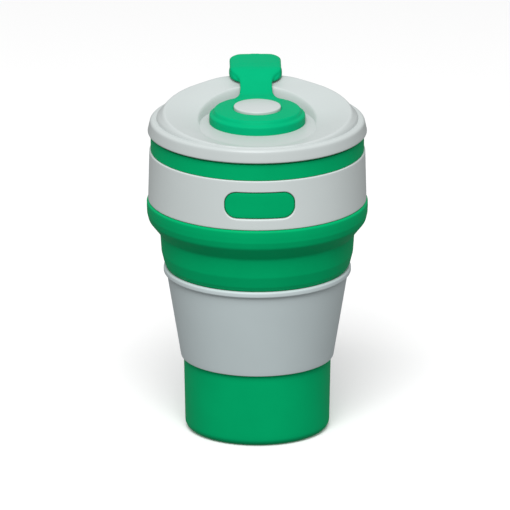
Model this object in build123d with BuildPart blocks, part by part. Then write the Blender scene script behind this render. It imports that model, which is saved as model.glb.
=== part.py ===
from build123d import *
import os
from math import radians, tan

# Collapsible travel cup with a lid, a swing-up stopper and a slip-on grip sleeve.
# Millimetres, +Z up. The origin is the centre of the base, on the surface the cup stands on.
# +Y is the drinking side, -Y the side with the window in the rim band.

os.makedirs("parts", exist_ok=True)

# Driving dimensions
moving_gap = 0.3            # between pieces that move apart
seat_gap = 0.1              # between pieces that sit on each other and move together
wall = 2.2                  # silicone wall of the folding body

base_radius = 31.1          # outside of the base, at the bottom
base_top_radius = 31.85     # outside of the base, hidden inside the sleeve
base_top = 36.0             # where the base turns into the lower fold
floor_top = 3.4             # top of the base's floor
foot_radius = 24.5          # inner edge of the ring that the cup stands on
foot_recess = 0.8           # depth of the hollow inside that ring

sleeve_bottom = 32.5
sleeve_bottom_radius = 32.95
sleeve_neck = 70.2          # underside of the rolled lip
sleeve_neck_radius = 39.2
sleeve_top = 72.8
sleeve_lip_radius = 40.45
sleeve_wall = 0.8

ring_bottom = 68.0          # silicone ring that carries the sleeve's lip
ring_top = 75.0
ring_top_radius = 40.2

tier_bottom = 96.6          # lowest line of the wide upper tier
tier_radius = 47.7
tier_undercut = 88.2        # where the undercut starts below the tier
tier_inner_radius = 43.9
band_bottom = 102.9
band_top = 124.9
band_bottom_radius = 47.1
band_top_radius = 46.55
groove_radius = 45.4        # silicone under the rim band
rim_radius = 46.0           # silicone between the band and the lid
rim_top = 135.3             # top of the silicone, inside the lid

window_width = 30.4
window_height = 12.0
window_corner = 5.2
window_height_centre = 113.85
window_pad_radius = 46.2    # silicone seen through the window

lid_bottom = 132.45
lid_radius = 47.4
lid_edge_radius = 46.1
lid_rim = 138.8             # top of the lid's rim
lid_plate = 1.8             # thickness of the lid's top
lid_floor = 135.9           # floor of the recess round the stopper disc
skirt_radius = 42.0
skirt_bottom = 127.0
recess_radius = 24.3
crest_height = 146.8        # raised back of the lid
crest_radius = 37.0
crest_foot_radius = 44.2
crest_rise = 0.095          # how fast the crest rises towards the back, per mm
dish_angle = 15.1           # slope of the dish round the recess
dish_tilt = 10.5            # how far that dish leans forward
dish_apex = 132.8

disc_radius = 20.7
disc_bottom = 136.0
disc_top_radius = 18.3
button_radius = 10.15
button_seat = 142.9
shaft_radius = 3.3
shaft_bottom = 129.6

hinge_y = 19.2              # root of the strap, where it bends when the tab is lifted
hinge_z = 144.0
neck_width = 13.9
tab_width = 22.2
cap_width = 22.9
cap_clearance = 0.35        # under the cap, over the raised back
plug_bottom = 144.4
sip_y = 33.0                # centre of the drinking hole
sip_length = 9.0
sip_width = 6.0


# Base: the small silicone tumbler that the cup stands on
with BuildPart() as base_cup:
    with BuildSketch(Plane.XZ):
        with BuildLine():
            FilletPolyline(
                (0, foot_recess),
                (foot_radius - 1, foot_recess),
                (foot_radius, 0),
                (base_radius, 0),
                (base_top_radius, base_top),
                (base_top_radius - wall, base_top),
                (base_radius - wall, floor_top),
                (0, floor_top),
                radius=[0, 0.5, 0.5, 4.0, 0, 0, 3.5, 0],
                close=True,
            )
        make_face()
    revolve(axis=Axis.Z)

# Lower fold: the cone inside the sleeve that rolls up when the base is pushed in
with BuildPart() as lower_fold:
    with BuildSketch(Plane.XZ):
        with BuildLine():
            Polyline(
                (base_top_radius - 0.15, base_top),
                (sleeve_neck_radius - 1.8, ring_bottom - moving_gap),
                (sleeve_neck_radius - 1.8 - wall, ring_bottom - moving_gap),
                (base_top_radius - wall, base_top),
                close=True,
            )
        make_face()
    revolve(axis=Axis.Z)

# Fold ring: thick silicone hoop between the two folds, gripped by the sleeve
with BuildPart() as fold_ring:
    with BuildSketch(Plane.XZ):
        with BuildLine():
            FilletPolyline(
                (sleeve_neck_radius - 1.35, ring_bottom),
                (sleeve_neck_radius - 0.55, sleeve_top),
                (sleeve_neck_radius - 0.55, sleeve_top + 0.2),
                (ring_top_radius - 0.8, sleeve_top + 0.2),
                (ring_top_radius, ring_top),
                (ring_top_radius - wall, ring_top),
                (sleeve_neck_radius - 1.35 - wall, ring_bottom),
                radius=[0, 0, 0, 0.4, 0, 0, 0],
                close=True,
            )
        make_face()
    revolve(axis=Axis.Z)

# Grip sleeve: hard plastic cone with a rolled lip
with BuildPart() as grip_sleeve:
    with BuildSketch(Plane.XZ):
        with BuildLine():
            FilletPolyline(
                (sleeve_bottom_radius, sleeve_bottom),
                (sleeve_neck_radius, sleeve_neck),
                (sleeve_lip_radius, sleeve_neck),
                (sleeve_lip_radius, sleeve_top),
                (sleeve_neck_radius - 0.45, sleeve_top),
                (sleeve_bottom_radius - sleeve_wall, sleeve_bottom),
                radius=[0.35, 0.3, 1.2, 1.2, 0.3, 0.35],
                close=True,
            )
        make_face()
    revolve(axis=Axis.Z)

# Upper fold: the middle tier and its undercut, which turn inside out when the cup is collapsed
with BuildPart() as upper_fold:
    with BuildSketch(Plane.XZ):
        with BuildLine():
            FilletPolyline(
                (ring_top_radius, ring_top),
                (41.3, 79.5),
                (41.9, tier_undercut - 0.2),
                (46.9, tier_undercut + 6.0),
                (tier_radius - 0.1, tier_bottom - moving_gap),
                (tier_radius - wall - 0.1, tier_bottom - moving_gap),
                (44.9, tier_undercut + 6.7),
                (39.7, tier_undercut + 0.3),
                (39.1, 79.5),
                (ring_top_radius - wall, ring_top),
                radius=[0, 5.0, 1.5, 2.0, 0, 0, 2.0, 1.5, 5.0, 0],
                close=True,
            )
        make_face()
    revolve(axis=Axis.Z)

# Silicone that fills the band's window: a rounded pad curved like the tier
with BuildPart() as window_pad:
    with BuildSketch(Plane.XY.offset(window_height_centre - window_height)):
        Circle(window_pad_radius)
        Circle(groove_radius - 0.5, mode=Mode.SUBTRACT)
    extrude(amount=2 * window_height)
    with BuildSketch(Plane.XZ):
        with Locations((0, window_height_centre)):
            RectangleRounded(window_width - 0.6, window_height - 0.6, window_corner - 0.3)
    extrude(amount=2 * tier_radius, mode=Mode.INTERSECT)

# Upper tier: wide silicone wall with a groove for the band and a rim for the lid
with BuildPart() as upper_tier:
    with BuildSketch(Plane.XZ):
        with BuildLine():
            FilletPolyline(
                (tier_radius - 0.1, tier_bottom),
                (tier_radius, tier_bottom + 2),
                (tier_radius, band_bottom - seat_gap),
                (groove_radius, band_bottom - seat_gap),
                (groove_radius, band_top + seat_gap),
                (rim_radius, band_top + seat_gap),
                (rim_radius, lid_bottom - moving_gap),
                (rim_radius - 0.65, lid_bottom - moving_gap),
                (rim_radius - 0.65, rim_top),
                (tier_inner_radius, rim_top),
                (tier_inner_radius, band_bottom + 1),
                (tier_radius - wall - 0.1, band_bottom - 1.5),
                (tier_radius - wall - 0.1, tier_bottom),
                radius=[0, 3.0, 0.8, 0, 0, 0.3, 0.5, 0, 0.6, 0.6, 2.0, 2.0, 0],
                close=True,
            )
        make_face()
    revolve(axis=Axis.Z)
    add(window_pad.part)

# Rim band: hard plastic hoop with a window at the front
with BuildPart() as rim_band:
    with BuildSketch(Plane.XZ):
        with BuildLine():
            FilletPolyline(
                (band_bottom_radius, band_bottom),
                (band_top_radius, band_top),
                (groove_radius + seat_gap, band_top),
                (groove_radius + seat_gap, band_bottom),
                radius=[0.45, 0.4, 0.2, 0.2],
                close=True,
            )
        make_face()
    revolve(axis=Axis.Z)
    with BuildSketch(Plane.XZ):
        with Locations((0, window_height_centre)):
            RectangleRounded(window_width, window_height, window_corner)
    extrude(amount=2 * tier_radius, mode=Mode.SUBTRACT)


def crest_top(y):
    """Height of the raised back's top at a distance behind the cup's axis."""
    return crest_height - crest_rise * (crest_radius - y)


def crest(inset):
    """Raised back of the lid, or with an inset the hollow under it."""
    lean = Plane(origin=(0, 0, crest_top(0) - inset), z_dir=(0, -crest_rise, 1))
    run = 2 * lid_radius
    with BuildPart() as dish:
        with BuildSketch(Plane.XZ):
            with BuildLine():
                Polyline((0, 0), (run, run * tan(radians(dish_angle))), (0, run), close=True)
            make_face()
        revolve(axis=Axis.Z)
    with BuildPart() as raised:
        with BuildSketch(Plane.XZ):
            with BuildLine():
                Polyline(
                    (recess_radius + inset, lid_floor - 0.7 - 2 * inset),
                    (recess_radius + inset, crest_height - inset),
                    (crest_radius - inset / 2, crest_height - inset),
                    (crest_foot_radius - inset, lid_rim - 0.4 - inset),
                    (crest_foot_radius - 2 * inset, lid_rim - 1.2 - 2 * inset),
                    close=True,
                )
            make_face()
        revolve(axis=Axis.Z)
        split(bisect_by=lean, keep=Keep.BOTTOM)
        with Locations(Location((0, 0, dish_apex - inset), (dish_tilt, 0, 0))):
            add(dish.part, mode=Mode.SUBTRACT)
    return raised.part


raised_back = crest(0)
raised_back_hollow = crest(lid_plate)

# Lid: rim over the silicone, plug skirt inside it, dished top with a raised back
with BuildPart() as lid:
    with BuildSketch(Plane.XZ):
        with BuildLine():
            FilletPolyline(
                (shaft_radius + 0.3, lid_floor),
                (22.2, lid_floor),
                (41.0, lid_rim - 0.5),
                (43.0, lid_rim),
                (lid_edge_radius, lid_rim - 0.1),
                (lid_radius, lid_bottom),
                (lid_radius - 1.4, lid_bottom),
                (lid_radius - 1.6, lid_rim - 2.7),
                (skirt_radius, lid_rim - 2.7),
                (skirt_radius, skirt_bottom),
                (skirt_radius - 1.5, skirt_bottom),
                (skirt_radius - 1.6, lid_rim - 2.5),
                (22.2, lid_floor - lid_plate),
                (shaft_radius + 0.3, lid_floor - lid_plate),
                radius=[0, 2.0, 2.0, 1.0, 2.2, 0.5, 0.4, 1.2, 0.4, 0.6, 0.6, 0.8, 2.0, 0],
                close=True,
            )
        make_face()
    revolve(axis=Axis.Z)
    add(raised_back)
    add(raised_back_hollow, mode=Mode.SUBTRACT)
    with BuildSketch(Plane.XY.offset(lid_floor - 8)):
        with Locations((0, sip_y)):
            SlotOverall(sip_length, sip_width)
    extrude(amount=20, mode=Mode.SUBTRACT)

# Seal: silicone ring round the lid's skirt, with two lips
with BuildPart() as lid_seal:
    with BuildSketch(Plane.XZ):
        with BuildLine():
            FilletPolyline(
                (skirt_radius + 0.05, 128.6),
                (43.0, 128.8),
                (43.5, 129.4),
                (42.9, 130.3),
                (43.5, 131.2),
                (43.0, 131.8),
                (skirt_radius + 0.05, 132.0),
                radius=[0, 0.2, 0.2, 0.3, 0.2, 0.2, 0],
                close=True,
            )
        make_face()
    revolve(axis=Axis.Z)

# Stopper disc: stepped silicone washer held by the button
with BuildPart() as stopper_disc:
    with BuildSketch(Plane.XZ):
        with BuildLine():
            FilletPolyline(
                (shaft_radius + 0.1, disc_bottom),
                (disc_radius, disc_bottom),
                (disc_radius, 140.9),
                (19.2, 141.4),
                (disc_top_radius, 142.9),
                (button_radius + 0.3, 143.7),
                (button_radius + 0.3, button_seat - 0.1),
                (shaft_radius + 0.1, button_seat - 0.1),
                radius=[0, 0.6, 0.9, 0.4, 0.7, 0.3, 0, 0],
                close=True,
            )
        make_face()
    revolve(axis=Axis.Z)

# Cap over the drinking hole, with its underside along the lid's raised back
with BuildPart() as sip_cap:
    with BuildSketch(Plane.YZ):
        with BuildLine():
            Polyline(
                (25.5, crest_top(25.5) + cap_clearance),
                (25.5, 147.6),
                (28.8, 149.9),
                (33.0, 151.3),
                (43.0, 152.5),
                (43.0, crest_top(43.0) + cap_clearance),
                close=True,
            )
        make_face()
    extrude(amount=cap_width / 2, both=True)
    with BuildSketch(Plane.XY.offset(hinge_z)):
        with Locations((0, 34.2)):
            RectangleRounded(cap_width, 17.0, 8.0)
    extrude(amount=10, mode=Mode.INTERSECT)
    with BuildSketch(Plane.XY.offset(crest_top(sip_y) + 1.0)):
        with Locations((0, sip_y)):
            SlotOverall(sip_length - 0.8, sip_width - 0.8)
    extrude(amount=plug_bottom - crest_top(sip_y) - 1.0, taper=14)

# Stopper tab: the strap, the cap that closes the drinking hole and the lifting tab
with BuildPart() as stopper_tab:
    root_y = hinge_y + 0.2
    strap = 2.4
    with BuildSketch(Plane.YZ):
        with BuildLine():
            FilletPolyline(
                (root_y, hinge_z),
                (28.4, 151.0),
                (33.0, 152.5),
                (46.0, 154.0),
                (46.0, 151.0),
                (32.0, 149.4),
                (28.6, 148.4),
                (22.8, 144.8),
                (root_y + 1.0, hinge_z - strap),
                (root_y, hinge_z - strap),
                radius=[0, 3.0, 4.0, 1.3, 1.2, 2.0, 2.0, 2.0, 0.6, 0],
                close=True,
            )
        make_face()
    extrude(amount=tab_width / 2, both=True)
    with BuildSketch(Plane.XY.offset(hinge_z - 10)):
        with BuildLine():
            FilletPolyline(
                (-neck_width / 2 - 1.6, root_y - 1),
                (-neck_width / 2, 23.0),
                (-neck_width / 2 - 0.3, 26.5),
                (-tab_width / 2, 30.0),
                (-tab_width / 2, 46.5),
                (tab_width / 2, 46.5),
                (tab_width / 2, 30.0),
                (neck_width / 2 + 0.3, 26.5),
                (neck_width / 2, 23.0),
                (neck_width / 2 + 1.6, root_y - 1),
                radius=[0, 4.0, 3.0, 3.5, 4.5, 4.5, 3.5, 3.0, 4.0, 0],
                close=True,
            )
        make_face()
    extrude(amount=30, mode=Mode.INTERSECT)
    add(sip_cap.part)

# Button: domed cap on a shaft through the disc and the lid, with a barb at its end
with BuildPart() as pivot_button:
    with BuildSketch(Plane.XZ):
        with BuildLine():
            top_edge = (button_radius, 144.5)
            Polyline(
                (0, 145.4 - 0.1),
                (0, shaft_bottom),
                (shaft_radius - 0.6, shaft_bottom),
                (shaft_radius + 0.9, shaft_bottom + 0.9),
                (shaft_radius, shaft_bottom + 1.2),
                (shaft_radius, button_seat),
                (button_radius - 0.3, button_seat),
                (button_radius, button_seat + 0.3),
                top_edge,
            )
            RadiusArc((0, 145.3), top_edge, 66)
        make_face()
    revolve(axis=Axis.Z)

# Retainer: washer that locks the button's shaft under the lid
with BuildPart() as button_retainer:
    with BuildSketch(Plane.XY.offset(shaft_bottom + 1.4)):
        Circle(7.0)
        Circle(shaft_radius + 0.1, mode=Mode.SUBTRACT)
    extrude(amount=lid_floor - lid_plate - 0.1 - shaft_bottom - 1.4)
    chamfer(button_retainer.edges().filter_by(GeomType.CIRCLE).group_by(SortBy.RADIUS)[-1], 0.4)

pieces = {
    "base_cup": base_cup,
    "lower_fold": lower_fold,
    "fold_ring": fold_ring,
    "grip_sleeve": grip_sleeve,
    "upper_fold": upper_fold,
    "upper_tier": upper_tier,
    "rim_band": rim_band,
    "lid": lid,
    "lid_seal": lid_seal,
    "stopper_disc": stopper_disc,
    "stopper_tab": stopper_tab,
    "pivot_button": pivot_button,
    "button_retainer": button_retainer,
}
for node, piece in pieces.items():
    piece.part.label = node
    export_step(piece.part, f"parts/{node}.step")
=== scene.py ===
import math

import bmesh
import bpy
import numpy as np
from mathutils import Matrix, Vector


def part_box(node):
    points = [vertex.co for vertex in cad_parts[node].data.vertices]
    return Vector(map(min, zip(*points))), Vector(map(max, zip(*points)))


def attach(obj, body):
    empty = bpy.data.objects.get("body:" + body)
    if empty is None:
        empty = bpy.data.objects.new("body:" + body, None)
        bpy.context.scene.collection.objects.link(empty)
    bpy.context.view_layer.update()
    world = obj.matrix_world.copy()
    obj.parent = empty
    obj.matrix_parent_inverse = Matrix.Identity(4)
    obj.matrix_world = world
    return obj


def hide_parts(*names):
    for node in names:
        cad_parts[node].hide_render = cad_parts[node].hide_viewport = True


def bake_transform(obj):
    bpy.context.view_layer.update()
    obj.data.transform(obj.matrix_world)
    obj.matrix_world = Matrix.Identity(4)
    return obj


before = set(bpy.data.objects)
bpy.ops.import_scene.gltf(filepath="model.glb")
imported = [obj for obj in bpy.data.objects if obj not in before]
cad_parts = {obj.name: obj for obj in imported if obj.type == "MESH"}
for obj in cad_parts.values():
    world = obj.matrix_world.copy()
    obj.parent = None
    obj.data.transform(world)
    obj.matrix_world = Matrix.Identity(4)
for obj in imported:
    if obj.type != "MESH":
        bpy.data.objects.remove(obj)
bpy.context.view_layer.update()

MM = 0.001


def span(node):
    """A round node's outer radius, lowest z and highest z, in millimetres."""
    low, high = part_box(node)
    return high[0] / MM, low[2] / MM, high[2] / MM


BASE_R, _, BASE_TOP = span("base_cup")
RING_R, RING_BOTTOM, RING_TOP = span("fold_ring")
SLEEVE_R, SLEEVE_BOTTOM, SLEEVE_TOP = span("grip_sleeve")
TIER_R, TIER_BOTTOM, TIER_TOP = span("upper_tier")
BAND_R, BAND_BOTTOM, BAND_TOP = span("rim_band")
LID_R, LID_BOTTOM, LID_TOP = span("lid")
DISC_R, DISC_BOTTOM, DISC_TOP = span("stopper_disc")
BUTTON_R, BUTTON_BOTTOM, BUTTON_TOP = span("pivot_button")
TAB_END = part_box("stopper_tab")[1][1] / MM


# ---- mesh helpers ------------------------------------------------------------

def rounded(points, radii, steps=6):
    """A closed outline with each corner turned into an arc of its radius."""
    outline = []
    count = len(points)
    for i in range(count):
        here = np.array(points[i], float)
        if radii[i] <= 0:
            outline.append(here)
            continue
        before = np.array(points[i - 1], float) - here
        after = np.array(points[(i + 1) % count], float) - here
        reach_before = np.linalg.norm(before)
        reach_after = np.linalg.norm(after)
        before /= reach_before
        after /= reach_after
        half = math.acos(float(np.clip(before @ after, -1, 1))) / 2
        cut = min(radii[i] / math.tan(half), 0.49 * reach_before, 0.49 * reach_after)
        radius = cut * math.tan(half)
        middle = (before + after) / np.linalg.norm(before + after)
        centre = here + middle * radius / math.sin(half)
        start = here + before * cut - centre
        end = here + after * cut - centre
        sweep = math.pi - 2 * half
        for k in range(steps + 1):
            t = k / steps
            blend = math.sin((1 - t) * sweep) * start + math.sin(t * sweep) * end
            outline.append(centre + blend / math.sin(sweep))
    return [tuple(p) for p in outline]


def profile(corners, steps=6):
    """A closed outline from (r, z, rounding) corners."""
    return rounded([(r, z) for r, z, _ in corners], [bend for _, _, bend in corners], steps)


def subdivided(outline, longest):
    """The same closed outline with no run longer than the given length."""
    points = []
    for i, here in enumerate(outline):
        there = outline[(i + 1) % len(outline)]
        gap = math.dist(here, there)
        parts = max(1, math.ceil(gap / longest))
        for k in range(parts):
            t = k / parts
            points.append((here[0] + (there[0] - here[0]) * t, here[1] + (there[1] - here[1]) * t))
    return points


def make_object(name, points, faces):
    """A smooth-shaded mesh object from points in millimetres."""
    mesh = bpy.data.meshes.new(name)
    mesh.from_pydata([(x * MM, y * MM, z * MM) for x, y, z in points], [], faces)
    mesh.validate()
    work = bmesh.new()
    work.from_mesh(mesh)
    bmesh.ops.remove_doubles(work, verts=work.verts, dist=1e-7)
    bmesh.ops.recalc_face_normals(work, faces=work.faces)
    work.to_mesh(mesh)
    work.free()
    mesh.polygons.foreach_set("use_smooth", [True] * len(mesh.polygons))
    piece = bpy.data.objects.new(name, mesh)
    bpy.context.collection.objects.link(piece)
    return piece


def lathe(name, outline, segments=224):
    """A closed (r, z) outline turned round the cup's axis. Points at r = 0 close it."""
    points, rings = [], []
    for r, z in outline:
        if r < 1e-6:
            rings.append([len(points)] * segments)
            points.append((0, 0, z))
        else:
            rings.append(list(range(len(points), len(points) + segments)))
            for k in range(segments):
                angle = 2 * math.pi * k / segments
                points.append((r * math.cos(angle), r * math.sin(angle), z))
    faces = []
    for i, ring in enumerate(rings):
        up = rings[(i + 1) % len(rings)]
        for k in range(segments):
            j = (k + 1) % segments
            corners = []
            for v in (ring[k], ring[j], up[j], up[k]):
                if v not in corners:
                    corners.append(v)
            if len(corners) > 2:
                faces.append(corners)
    return make_object(name, points, faces)


def sharpen_by_angle(piece, degrees):
    """Edges sharper than the angle shade as edges."""
    piece.data.set_sharp_from_angle(angle=math.radians(degrees))


def baked(piece):
    """The piece with its modifiers applied, under the same name."""
    graph = bpy.context.evaluated_depsgraph_get()
    mesh = bpy.data.meshes.new_from_object(piece.evaluated_get(graph))
    old = piece.data
    piece.modifiers.clear()
    piece.data = mesh
    bpy.data.meshes.remove(old)
    mesh.name = piece.name
    mesh.polygons.foreach_set("use_smooth", [True] * len(mesh.polygons))
    return piece


def cut(piece, cutter):
    """Takes the cutter's volume out of the piece, and the cutter out of the scene."""
    modifier = piece.modifiers.new("cut", "BOOLEAN")
    modifier.operation = "DIFFERENCE"
    modifier.solver = "EXACT"
    modifier.object = cutter
    baked(piece)
    bpy.data.objects.remove(cutter)


def smoothstep(x, low, high):
    t = min(1.0, max(0.0, (x - low) / (high - low)))
    return t * t * (3 - 2 * t)


def soft_min(a, b, k):
    h = min(1.0, max(0.0, 0.5 + 0.5 * (b - a) / k))
    return b + (a - b) * h - k * h * (1 - h)


# ---- materials -----------------------------------------------------------------

def new_material(name):
    material = bpy.data.materials.new(name)
    material.use_nodes = True
    nodes = material.node_tree.nodes
    nodes.clear()
    output = nodes.new("ShaderNodeOutputMaterial")
    shader = nodes.new("ShaderNodeBsdfPrincipled")
    material.node_tree.links.new(shader.outputs["BSDF"], output.inputs["Surface"])
    return material, shader


def add_noise(material, scale, detail=4.0, stretch=(1, 1, 1)):
    """Noise over the object's own coordinates, in metres."""
    tree = material.node_tree
    place = tree.nodes.new("ShaderNodeTexCoord")
    mapping = tree.nodes.new("ShaderNodeMapping")
    mapping.inputs["Scale"].default_value = stretch
    noise = tree.nodes.new("ShaderNodeTexNoise")
    noise.inputs["Scale"].default_value = scale
    noise.inputs["Detail"].default_value = detail
    tree.links.new(place.outputs["Object"], mapping.inputs["Vector"])
    tree.links.new(mapping.outputs["Vector"], noise.inputs["Vector"])
    return noise


def spread(material, source, low, high):
    """Maps a 0..1 factor to low..high."""
    node = material.node_tree.nodes.new("ShaderNodeMapRange")
    node.inputs["To Min"].default_value = low
    node.inputs["To Max"].default_value = high
    node.inputs["From Min"].default_value = 0.3
    node.inputs["From Max"].default_value = 0.7
    material.node_tree.links.new(source, node.inputs["Value"])
    return node.outputs["Result"]


def add_bump(material, source, distance, strength, under=None):
    node = material.node_tree.nodes.new("ShaderNodeBump")
    node.inputs["Distance"].default_value = distance
    node.inputs["Strength"].default_value = strength
    material.node_tree.links.new(source, node.inputs["Height"])
    if under is not None:
        material.node_tree.links.new(under, node.inputs["Normal"])
    return node.outputs["Normal"]


def tint(material, source, dark, light):
    """A colour between dark and light, by a 0..1 factor."""
    node = material.node_tree.nodes.new("ShaderNodeValToRGB")
    node.color_ramp.elements[0].position = 0.3
    node.color_ramp.elements[0].color = (*dark, 1)
    node.color_ramp.elements[1].position = 0.7
    node.color_ramp.elements[1].color = (*light, 1)
    material.node_tree.links.new(source, node.inputs["Fac"])
    return node.outputs["Color"]


def silicone(name, colour, rough=0.5):
    """Moulded silicone: soft mottling, a spark-eroded grain and faint swells in the surface."""
    material, shader = new_material(name)
    link = material.node_tree.links.new
    cloud = add_noise(material, scale=45, detail=3).outputs["Fac"]
    grain = add_noise(material, scale=5200, detail=2).outputs["Fac"]
    swell = add_noise(material, scale=110, detail=2).outputs["Fac"]
    dark = tuple(c * 0.955 for c in colour)
    light = tuple(min(1, c * 1.045) for c in colour)
    link(tint(material, cloud, dark, light), shader.inputs["Base Color"])
    link(spread(material, cloud, rough - 0.05, rough + 0.06), shader.inputs["Roughness"])
    relief = add_bump(material, swell, distance=0.00006, strength=0.35)
    link(add_bump(material, grain, distance=0.000012, strength=0.5, under=relief), shader.inputs["Normal"])
    shader.inputs["Specular IOR Level"].default_value = 0.03
    return material


def plastic(name, colour, rough=0.42):
    """Moulded polypropylene: fine texture, slight flow marks, soft gloss."""
    material, shader = new_material(name)
    link = material.node_tree.links.new
    cloud = add_noise(material, scale=30, detail=3).outputs["Fac"]
    flow = add_noise(material, scale=60, detail=2, stretch=(1, 1, 0.35)).outputs["Fac"]
    grain = add_noise(material, scale=3600, detail=3).outputs["Fac"]
    dark = tuple(c * 0.975 for c in colour)
    light = tuple(min(1, c * 1.02) for c in colour)
    link(tint(material, cloud, dark, light), shader.inputs["Base Color"])
    link(spread(material, flow, rough - 0.04, rough + 0.06), shader.inputs["Roughness"])
    relief = add_bump(material, flow, distance=0.00005, strength=0.3)
    link(add_bump(material, grain, distance=0.000015, strength=0.45, under=relief), shader.inputs["Normal"])
    shader.inputs["Specular IOR Level"].default_value = 0.4
    return material


GREEN = silicone("cup_silicone", (0.0, 0.365, 0.13))
STOPPER_GREEN = silicone("stopper_silicone", (0.0, 0.35, 0.15))
SLEEVE_GREY = plastic("sleeve_polypropylene", (0.515, 0.59, 0.60), 0.48)
BAND_GREY = plastic("band_polypropylene", (0.565, 0.615, 0.61), 0.45)
LID_WHITE = plastic("lid_polypropylene", (0.475, 0.515, 0.51), 0.38)


def finish_piece(piece, material):
    piece.data.materials.clear()
    piece.data.materials.append(material)
    return piece


# ---- silicone body -------------------------------------------------------------

WALL = 2.2              # silicone wall
THIN = 1.3              # silicone wall of the middle tier
FOOT_R = 24.5           # inner edge of the ring that the cup stands on
FOOT_RECESS = 0.8
BASE_FLOOR = 3.4        # top of the floor inside the base
BASE_FLARE = 0.75       # how much wider the base is at its top
RING_GAP = 0.3          # between the lower cone and the ring above it


def lower_silicone():
    """Base and the cone above it, up to the ring inside the sleeve."""
    corner_r = BASE_R - BASE_FLARE
    cone_r = RING_R - 2.7
    cone_top = RING_BOTTOM + RING_GAP
    outline = profile(
        [
            (0, FOOT_RECESS, 0),
            (FOOT_R - 1, FOOT_RECESS, 0.5),
            (FOOT_R, 0, 0.5),
            (corner_r, 0, 4.0),
            (BASE_R, BASE_TOP, 6.0),
            (cone_r, cone_top, 0.3),
            (cone_r - WALL + 0.4, cone_top, 0.3),
            (BASE_R - WALL, BASE_TOP, 8.0),
            (corner_r - WALL, BASE_FLOOR, 3.5),
            (0, BASE_FLOOR, 0),
        ],
        8,
    )
    piece = lathe("silicone_lower", subdivided(outline, 1.6))
    finish_piece(piece, GREEN)
    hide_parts("base_cup", "lower_fold")
    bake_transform(piece)
    return piece


def upper_silicone():
    """Ring on the sleeve's lip, middle tier, undercut, wide upper tier and the rim in the lid."""
    groove = TIER_R - 2.3
    rim = TIER_R - 1.7
    rim_top_r = rim - 0.65
    inner = TIER_R - 3.8
    tier_inner = TIER_R - WALL - 0.1
    step = BAND_BOTTOM - 0.1
    ledge = BAND_TOP + 0.1
    lid_seat = TIER_TOP - 3.15
    waist = RING_R + 1.75
    undercut = RING_TOP + 13.1
    swell = RING_TOP + 4.6
    ring_in = RING_R - 4.5
    outline = profile(
        [
            (RING_R - 2.35, RING_BOTTOM + 0.4, 0.3),
            (RING_R - 1.6, SLEEVE_TOP - 0.2, 0),
            (RING_R - 1.5, SLEEVE_TOP + 0.25, 0.1),
            (RING_R - 0.9, SLEEVE_TOP + 0.35, 0.3),
            (RING_R, RING_TOP, 3.0),
            (RING_R + 1.15, swell, 5.0),
            (waist, undercut, 2.6),
            (TIER_R - 0.8, TIER_BOTTOM - 2.3, 3.5),
            (TIER_R - 0.12, TIER_BOTTOM + 0.6, 2.5),
            (TIER_R, TIER_BOTTOM + 3, 3.0),
            (TIER_R, step, 1.1),
            (groove, step, 0.2),
            (groove, ledge, 0.2),
            (rim, ledge, 0.5),
            (rim, lid_seat, 0.6),
            (rim_top_r, lid_seat, 0.2),
            (rim_top_r, TIER_TOP, 0.6),
            (inner, TIER_TOP, 0.6),
            (inner, BAND_BOTTOM + 1.2, 2.5),
            (tier_inner, BAND_BOTTOM - 1.5, 2.0),
            (tier_inner, TIER_BOTTOM - 0.5, 2.5),
            (waist - THIN, RING_TOP + 14.2, 2.0),
            (RING_R + 1.1 - THIN, swell, 5.0),
            (RING_R - 2.0, RING_TOP, 3),
            (ring_in + 0.6, SLEEVE_TOP, 2),
            (ring_in, RING_BOTTOM + 0.4, 0.3),
        ],
        7,
    )
    piece = lathe("silicone_upper", subdivided(outline, 1.1))
    finish_piece(piece, GREEN)
    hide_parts("fold_ring", "upper_fold", "upper_tier")
    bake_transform(piece)
    return piece


# ---- sleeve and rim band ----------------------------------------------------------

SLEEVE_WALL = 0.8


def grip_sleeve():
    """Hard cone round the lower half, with a rolled lip."""
    bottom_r = SLEEVE_R - 7.5
    neck_r = SLEEVE_R - 1.25
    neck_z = SLEEVE_TOP - 2.6
    outline = profile(
        [
            (bottom_r, SLEEVE_BOTTOM, 0.35),
            (neck_r, neck_z, 0.5),
            (SLEEVE_R, neck_z + 0.1, 1.2),
            (SLEEVE_R, SLEEVE_TOP, 1.3),
            (neck_r - 0.45, SLEEVE_TOP, 0.3),
            (bottom_r - SLEEVE_WALL, SLEEVE_BOTTOM, 0.35),
        ],
        8,
    )
    piece = lathe("sleeve_shell", subdivided(outline, 2.0))
    finish_piece(piece, SLEEVE_GREY)
    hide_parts("grip_sleeve")
    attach(piece, "middle")
    return piece


WINDOW_W, WINDOW_H, WINDOW_CORNER = 30.4, 12.0, 5.2
WINDOW_Z = (BAND_BOTTOM + BAND_TOP) / 2 - 0.05
BAND_TAPER = 0.55       # how much narrower the band is at its top
PAD_DEPTH = 0.85        # of the silicone in the window, below the band's face


def band_radius(z):
    """Outside of the rim band at a height."""
    t = (z - BAND_BOTTOM) / (BAND_TOP - BAND_BOTTOM)
    return BAND_R - BAND_TAPER * t


def stacked(name, loops):
    """A closed solid from loops of the same count, with a fan at each end."""
    count = len(loops[0])
    points = [p for loop in loops for p in loop]
    faces = []
    for i in range(len(loops) - 1):
        for k in range(count):
            j = (k + 1) % count
            faces.append((i * count + k, i * count + j, (i + 1) * count + j, (i + 1) * count + k))
    for loop, first in ((loops[0], 0), (loops[-1], (len(loops) - 1) * count)):
        centre = tuple(sum(p[a] for p in loop) / count for a in range(3))
        points.append(centre)
        for k in range(count):
            faces.append((first + k, first + (k + 1) % count, len(points) - 1))
    return make_object(name, points, faces)


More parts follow.
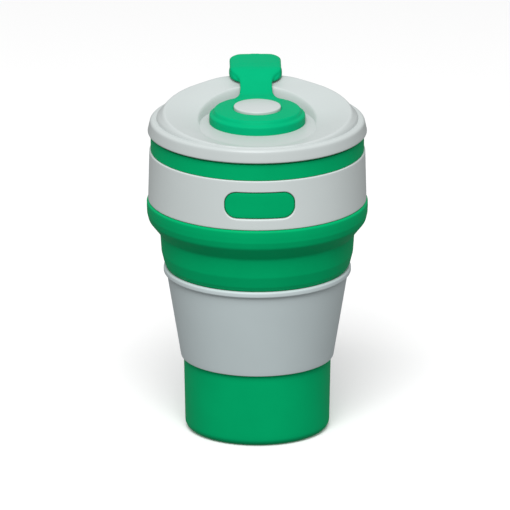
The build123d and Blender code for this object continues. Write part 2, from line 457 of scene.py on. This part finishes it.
def on_tier(x, z, radius):
    """The point at the front of the cup at (x, z) and the given radius."""
    return (x, -math.sqrt(max(radius * radius - x * x, 1.0)), z)


def rim_band():
    """Hard hoop round the tier, with a window whose edge is rounded."""
    inner_r = TIER_R - 2.2
    outline = profile(
        [
            (BAND_R, BAND_BOTTOM, 0.5),
            (BAND_R - BAND_TAPER, BAND_TOP, 0.45),
            (inner_r, BAND_TOP, 0.2),
            (inner_r, BAND_BOTTOM, 0.2),
        ]
    )
    piece = lathe("band_hoop", subdivided(outline, 0.7), 448)
    edge = 0.45
    steps = [(-2.0, edge), (-0.02, edge)]
    steps += [
        (edge * (1 - math.cos(a)), edge * (1 - math.sin(a)))
        for a in np.linspace(0.2, math.pi / 2, 6)
    ]
    steps += [(4.0, 0.0)]
    loops = []
    for depth, grow in steps:
        loops.append([on_tier(x, z, band_radius(z) - depth) for x, z in window_outline(grow)])
    cut(piece, stacked("window_cutter", loops))
    sharpen_by_angle(piece, 50)
    finish_piece(piece, BAND_GREY)
    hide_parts("rim_band")
    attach(piece, "top")
    return piece


def window_outline(grow):
    """The window's outline with the same number of points at any growth."""
    w, h, c = WINDOW_W / 2 + grow, WINDOW_H / 2 + grow, WINDOW_CORNER + grow
    outline = []
    quarters = ((w - c, -h + c, -90), (w - c, h - c, 0), (-w + c, h - c, 90), (-w + c, -h + c, 180))
    for cx, cz, first in quarters:
        for k in range(13):
            angle = math.radians(first + 90 * k / 12)
            outline.append((cx + c * math.cos(angle), cz + c * math.sin(angle)))
    dense = []
    for i, here in enumerate(outline):
        there = outline[(i + 1) % len(outline)]
        if i % 26 == 25:
            parts = 16
        elif i % 13 == 12:
            parts = 3
        else:
            parts = 1
        for k in range(parts):
            t = k / parts
            x = here[0] + (there[0] - here[0]) * t
            z = here[1] + (there[1] - here[1]) * t + WINDOW_Z
            dense.append((x, z))
    return dense


def window_pad():
    """The silicone that fills the window, slightly below the band's face."""
    face = BAND_R - PAD_DEPTH
    root = TIER_R - 2.35
    edge = [(face - root, -0.3), (0.5, -0.3), (0.2, -0.38), (0.06, -0.55), (0.0, -0.85), (0.0, -2.2)]
    loops = []
    for depth, grow in edge:
        loops.append([on_tier(x, z, face - depth) for x, z in window_outline(grow)])
    inside = window_outline(-2.2)
    for share in (0.8, 0.6, 0.4, 0.2, 0.02):
        loops.append([on_tier(x * share, WINDOW_Z + (z - WINDOW_Z) * share, face) for x, z in inside])
    piece = stacked("window_silicone", loops)
    finish_piece(piece, GREEN)
    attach(piece, "top")
    return piece


# ---- lid ----------------------------------------------------------------------------

RECESS_R = DISC_R + 3.6
FLOOR = DISC_BOTTOM - 0.1       # floor of the recess round the stopper disc
RIM_Z = LID_TOP - 8.0
PLATE = 1.8                     # thickness of the lid's top
SKIRT_R = 42.0                  # outside of the plug skirt
CREST_R = 37.0                  # where the raised back is highest
CREST_RISE = 0.095              # how fast the raised back rises, per mm
FOOT_CREST_R = 44.2             # foot of the raised back's outer flank
FLANK = 1.167                   # slope of that flank
DISH_EDGE = 0.35                # step round the recess at the front
DISH_RISE = 9.5                 # how much higher the dish starts at the back
TOP_START_R = 21.9              # inside this radius the top is the flat floor


def crest_height(y):
    """Height of the raised back's top, y millimetres behind the cup's axis."""
    return LID_TOP - CREST_RISE * (CREST_R - y)


def lid_top(r, back, x):
    """Height of the lid's top at radius r, where back is cos of the angle from the drinking side."""
    flank_foot = RIM_Z - 0.2
    crest_r = flank_foot + FOOT_CREST_R * FLANK - LID_TOP + CREST_RISE * CREST_R
    crest_r /= FLANK + CREST_RISE * back
    crest_z = crest_height(crest_r * back)
    edge_z = FLOOR + DISH_EDGE + DISH_RISE * ((1 + back) / 2) ** 2.3
    t = (r - RECESS_R) / (crest_r - RECESS_R)
    plate = edge_z + (crest_z - edge_z) * t
    flank = flank_foot + (FOOT_CREST_R - r) * FLANK
    z = soft_min(plate, flank, 0.9)
    swell = (1 - smoothstep(abs(x), 14, 28)) * smoothstep(r * back, 27, 34) * (1 - smoothstep(r, 38, 44))
    z += 0.6 * swell
    if r < RECESS_R + 1.6:
        z = FLOOR + (z - FLOOR) * smoothstep(r, RECESS_R - 2.1, RECESS_R + 1.6)
    if r > 40:
        near_rim = smoothstep(r, 39.0, 41.5)
        z = -soft_min(-z, -RIM_Z * near_rim - (RIM_Z - 1.2) * (1 - near_rim), 0.7)
    return z


def lid_height(r, z, back, x):
    """Height of a point on the lid's skin. On the top z is None; the underside follows the top."""
    if z is None:
        return lid_top(r, back, x) if r > TOP_START_R else FLOOR
    if 25.5 < r < 40.35 and z < RIM_Z - 2.0:
        return max(z, min(lid_top(r, back, x) - PLATE, z + 9))
    return z


def lid_shell():
    """The lid as one closed skin: rim, dished top with a raised back, and the plug skirt."""
    segments = 288
    wall_bottom = LID_BOTTOM + 6.0
    channel = RIM_Z - 2.6
    skin = profile(
        [
            (43.5, RIM_Z, 0),
            (LID_R - 1.2, RIM_Z - 0.1, 2.6),
            (LID_R + 0.08, wall_bottom, 0.6),
            (LID_R - 1.3, wall_bottom, 0.5),
            (LID_R - 1.5, channel, 1.0),
            (SKIRT_R, channel, 0.4),
            (SKIRT_R, LID_BOTTOM, 0.6),
            (SKIRT_R - 1.5, LID_BOTTOM, 0.6),
            (SKIRT_R - 1.7, RIM_Z - 2.2, 1.2),
            (30.0, FLOOR - 0.6, 2.0),
            (22.5, FLOOR - PLATE, 1.0),
            (0, FLOOR - PLATE, 0),
        ]
    )
    top_radii = [0.0, 6.0, 12.0, 17.0, 20.0, 21.5]
    top_radii += list(np.arange(22.0, 27.01, 0.25))
    top_radii += list(np.arange(27.75, 43.6, 0.5))
    rings = [(r, None) for r in top_radii] + subdivided(skin, 1.2)
    points = []
    for r, z in rings:
        for k in range(segments):
            angle = 2 * math.pi * k / segments
            x, y = r * math.sin(angle), r * math.cos(angle)
            points.append((x, y, lid_height(r, z, math.cos(angle), x)))
    faces = []
    for i in range(len(rings)):
        j = (i + 1) % len(rings)
        for k in range(segments):
            n = (k + 1) % segments
            faces.append((i * segments + k, i * segments + n, j * segments + n, j * segments + k))
    return make_object("lid_shell", points, faces)


def rounded_slot(half_x, half_y, corner, steps):
    """A rounded rectangle about the origin, from its half sizes."""
    square = [(-half_x, -half_y), (half_x, -half_y), (half_x, half_y), (-half_x, half_y)]
    return rounded(square, [corner] * 4, steps)


SIP_Y = 33.0            # centre of the drinking hole
SIP_LENGTH = 9.0
SIP_WIDTH = 6.0


def sip_cutter():
    """The drinking hole's volume, right through the lid."""
    outline = rounded_slot(SIP_LENGTH / 2, SIP_WIDTH / 2, SIP_WIDTH / 2 - 0.05, 10)
    return stacked("sip_cutter", [[(x, SIP_Y + y, z) for x, y in outline] for z in (FLOOR - 8, LID_TOP + 4)])


def lid():
    piece = lid_shell()
    cut(piece, sip_cutter())
    sharpen_by_angle(piece, 60)
    finish_piece(piece, LID_WHITE)
    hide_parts("lid")
    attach(piece, "lid")
    return piece


# ---- stopper ---------------------------------------------------------------------------

def disc_solid():
    """Stepped disc, let a little into the lid so that its foot meets the floor all round."""
    foot = DISC_BOTTOM - 0.4
    hollow = DISC_TOP - 0.8
    outline = profile(
        [
            (0, foot, 0),
            (DISC_R, foot, 0.3),
            (DISC_R, DISC_BOTTOM + 5.0, 0.9),
            (19.3, DISC_BOTTOM + 5.45, 0.3),
            (18.5, DISC_BOTTOM + 7.1, 0.9),
            (BUTTON_R + 0.3, DISC_TOP, 0.2),
            (BUTTON_R + 0.25, hollow, 0.2),
            (0, hollow, 0),
        ]
    )
    return lathe("disc_solid", subdivided(outline, 1.5), 160)


TAB_HALF = 11.15        # half the width of the tab's plate
TAB_THICK = 3.0
TAB_CORNER = 4.5
PLATE_Y = 36.0          # where the plate reaches its full width
PLATE_TOP = 152.8       # its height there
PLATE_SLOPE = 0.115


def strap_solid():
    """Strap and tab: sections along the strap, each a rounded bar."""
    stations = [  # distance behind the axis, top, half width, thickness
        (12.5, 143.6, 10.5, 2.0),
        (15.0, 143.9, 9.3, 2.2),
        (17.5, 144.1, 8.0, 2.3),
        (19.5, 144.8, 7.25, 2.4),
        (22.0, 146.4, 6.95, 2.4),
        (24.5, 148.1, 6.95, 2.5),
        (26.5, 149.4, 7.35, 2.7),
        (28.0, 150.4, 8.3, TAB_THICK),
        (29.2, 151.1, 9.6, TAB_THICK),
        (30.4, 151.7, 10.6, TAB_THICK),
        (32.0, 152.2, 11.1, TAB_THICK),
        (PLATE_Y, PLATE_TOP, TAB_HALF, TAB_THICK),
    ]
    for k in range(9):
        turn = math.pi / 2 * k / 8
        y = TAB_END - TAB_CORNER + TAB_CORNER * math.sin(turn)
        top = PLATE_TOP + (y - PLATE_Y) * PLATE_SLOPE
        half = TAB_HALF - TAB_CORNER * (1 - math.cos(turn))
        stations.append((y, top, half, TAB_THICK - 0.9 * (k / 8) ** 3))
    loops = []
    for y, top, half, thick in stations:
        loop = []
        for k in range(48):
            angle = 2 * math.pi * k / 48
            c, s = math.cos(angle), math.sin(angle)
            px = half * math.copysign(abs(c) ** 0.35, c)
            pz = thick / 2 * math.copysign(abs(s) ** 0.55, s)
            loop.append((px, y, top - thick / 2 + pz))
        loops.append(loop)
    return stacked("strap_solid", loops)


CAP_Y = 34.2            # centre of the cap over the drinking hole
CAP_HALF_X = 11.45
CAP_HALF_Y = 8.5
CAP_CORNER = 7.9
CAP_LIFT = 0.75         # clearance between the cap and the raised back


def cap_solid():
    """Cap over the drinking hole. It follows the raised back below and stays under the strap above."""
    levels = [  # height over the cap's underside, growth of its outline
        (0.0, -2.4), (0.0, -0.9), (0.25, -0.3), (0.8, 0.0),
        (2.6, 0.0), (3.3, -0.25), (3.7, -0.7), (3.9, -1.6),
    ]
    loops = []
    for level, grow in levels:
        half_x, half_y = CAP_HALF_X + grow, CAP_HALF_Y + grow
        loop = []
        for px, py in rounded_slot(half_x, half_y, min(CAP_CORNER + grow, half_y - 0.05), 12):
            y = CAP_Y + py
            under = crest_height(y) + CAP_LIFT
            roof = 151.3 + PLATE_SLOPE * (y - SIP_Y) - 0.62 * max(0.0, 32.0 - y)
            loop.append((px, y, min(under + level, max(roof, under + 0.3 * level))))
        loops.append(loop)
    return stacked("cap_solid", loops)


def plug_solid():
    """Plug under the cap, a loose fit in the drinking hole."""
    loops = []
    for z, grow in ((150.5, 0.0), (145.6, 0.0), (144.7, -0.15), (144.4, -0.6)):
        half_x, half_y = SIP_LENGTH / 2 - 0.4 + grow, SIP_WIDTH / 2 - 0.4 + grow
        outline = rounded_slot(half_x, half_y, half_y - 0.05, 8)
        loops.append([(px, SIP_Y + py, z) for px, py in outline])
    return stacked("plug_solid", loops)


REMESH_VOXEL = 0.32


def stopper():
    """Disc, strap, cap and tab as the one silicone moulding that they are."""
    parts = [disc_solid(), strap_solid(), cap_solid(), plug_solid()]
    work = bmesh.new()
    for part in parts:
        work.from_mesh(part.data)
    mesh = bpy.data.meshes.new("stopper_moulding")
    work.to_mesh(mesh)
    work.free()
    for part in parts:
        bpy.data.objects.remove(part)
    piece = bpy.data.objects.new("stopper_moulding", mesh)
    bpy.context.collection.objects.link(piece)
    remesh = piece.modifiers.new("join", "REMESH")
    remesh.mode = "VOXEL"
    remesh.voxel_size = REMESH_VOXEL * MM
    relax = piece.modifiers.new("relax", "SMOOTH")
    relax.factor = 0.5
    relax.iterations = 7
    baked(piece)
    finish_piece(piece, STOPPER_GREEN)
    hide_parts("stopper_disc", "stopper_tab")
    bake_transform(piece)
    return piece


BUTTON_DOME = 0.75      # how far the button's face falls towards its edge
SHAFT_R = 3.3
BARB_R = 4.2


def button():
    """Domed button on a shaft with a barb at its end."""
    seat = DISC_TOP - 0.85
    edge_r = BUTTON_R - 0.9
    outline = [(0.0, BUTTON_TOP)]
    for k in range(1, 13):
        r = edge_r * k / 12
        outline.append((r, BUTTON_TOP - BUTTON_DOME * (r / BUTTON_R) ** 2))
    side = profile(
        [
            (edge_r, BUTTON_TOP - 0.62, 0),
            (BUTTON_R, BUTTON_TOP - 0.8, 0.7),
            (BUTTON_R, seat, 0.2),
            (SHAFT_R, seat, 0.1),
            (SHAFT_R, BUTTON_BOTTOM + 1.2, 0),
            (BARB_R, BUTTON_BOTTOM + 0.9, 0.1),
            (SHAFT_R - 0.6, BUTTON_BOTTOM, 0.1),
            (0, BUTTON_BOTTOM, 0),
        ],
        5,
    )
    outline += side[1:]
    piece = lathe("button_cap", outline, 128)
    sharpen_by_angle(piece, 50)
    finish_piece(piece, LID_WHITE)
    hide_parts("pivot_button")
    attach(piece, "lid")
    return piece


lower_silicone()
upper_silicone()
grip_sleeve()
rim_band()
window_pad()
lid()
stopper()
button()
for node, material in (("lid_seal", STOPPER_GREEN), ("button_retainer", LID_WHITE)):
    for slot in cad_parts[node].material_slots:
        slot.material = material


# ---- studio ------------------------------------------------------------------------------

SKY_ABOVE = 0.62
SKY_BELOW = 0.28
FLOOR_HALF = 8.0        # metres
FLOOR_GLOW = 0.06
KEY_PLACE = (-0.12, -1.15, 1.60)
KEY_SIZE = 1.1
KEY_POWER = 35.5


def sky_world():
    """A studio that is bright above and dim below, whichever way it is looked at."""
    world = bpy.data.worlds.new("studio_sky")
    world.use_nodes = True
    tree = world.node_tree
    background = tree.nodes["Background"]
    direction = tree.nodes.new("ShaderNodeTexCoord")
    height = tree.nodes.new("ShaderNodeSeparateXYZ")
    ramp = tree.nodes.new("ShaderNodeMapRange")
    ramp.interpolation_type = "SMOOTHSTEP"
    ramp.inputs["From Min"].default_value = -0.25
    ramp.inputs["From Max"].default_value = 0.35
    ramp.inputs["To Min"].default_value = SKY_BELOW
    ramp.inputs["To Max"].default_value = SKY_ABOVE
    tree.links.new(direction.outputs["Generated"], height.inputs["Vector"])
    tree.links.new(height.outputs["Z"], ramp.inputs["Value"])
    tree.links.new(ramp.outputs["Result"], background.inputs["Strength"])
    background.inputs["Color"].default_value = (1, 1, 1, 1)
    bpy.context.scene.world = world


def studio_floor():
    """White sweep that shows the contact shadow and throws no light back on the cup."""
    half = FLOOR_HALF
    sheet = [(-half, -half, 0), (half, -half, 0), (half, half, 0), (-half, half, 0)]
    mesh = bpy.data.meshes.new("studio_floor")
    mesh.from_pydata(sheet, [], [(0, 1, 2, 3)])
    floor = bpy.data.objects.new("studio_floor", mesh)
    bpy.context.collection.objects.link(floor)
    material, shader = new_material("studio_white")
    shader.inputs["Base Color"].default_value = (0.9, 0.9, 0.9, 1)
    shader.inputs["Roughness"].default_value = 0.9
    shader.inputs["Specular IOR Level"].default_value = 0.0
    shader.inputs["Emission Color"].default_value = (1, 1, 1, 1)
    shader.inputs["Emission Strength"].default_value = FLOOR_GLOW
    mesh.materials.append(material)
    floor.visible_diffuse = False
    floor.visible_glossy = False


def softbox(name, place, size, power):
    """A square area light aimed at the middle of the cup."""
    light = bpy.data.lights.new(name, "AREA")
    light.shape = "SQUARE"
    light.size = size
    light.energy = power
    lamp = bpy.data.objects.new(name, light)
    lamp.location = place
    aim = Vector((0, 0, 0.08)) - Vector(place)
    lamp.rotation_euler = aim.to_track_quat("-Z", "Y").to_euler()
    bpy.context.collection.objects.link(lamp)


def studio():
    sky_world()
    studio_floor()
    softbox("key_softbox", KEY_PLACE, KEY_SIZE, KEY_POWER)


CAMERA_ELEVATION = 17.8         # degrees
CAMERA_TURN = 1.3
CAMERA_DISTANCE = 7.0           # metres, far enough for almost no perspective
CAMERA_LENS = 1144.5
CAMERA_TARGET = (-0.001, 0, 0.077)


def camera():
    elevation = math.radians(CAMERA_ELEVATION)
    turn = math.radians(CAMERA_TURN)
    distance = CAMERA_DISTANCE
    target = Vector(CAMERA_TARGET)
    level = math.cos(elevation)
    back = Vector((-math.sin(turn) * level, -math.cos(turn) * level, math.sin(elevation)))
    data = bpy.data.cameras.new("camera")
    data.sensor_width = 36
    data.lens = CAMERA_LENS
    data.clip_end = 100
    eye = bpy.data.objects.new("camera", data)
    eye.location = target + back * distance
    eye.rotation_euler = (-back).to_track_quat("-Z", "Y").to_euler()
    bpy.context.collection.objects.link(eye)
    bpy.context.scene.camera = eye
    bpy.context.scene.view_settings.view_transform = "Standard"


studio()
camera()


def corners(box):
    return [[float(value) for value in corner] for corner in box]
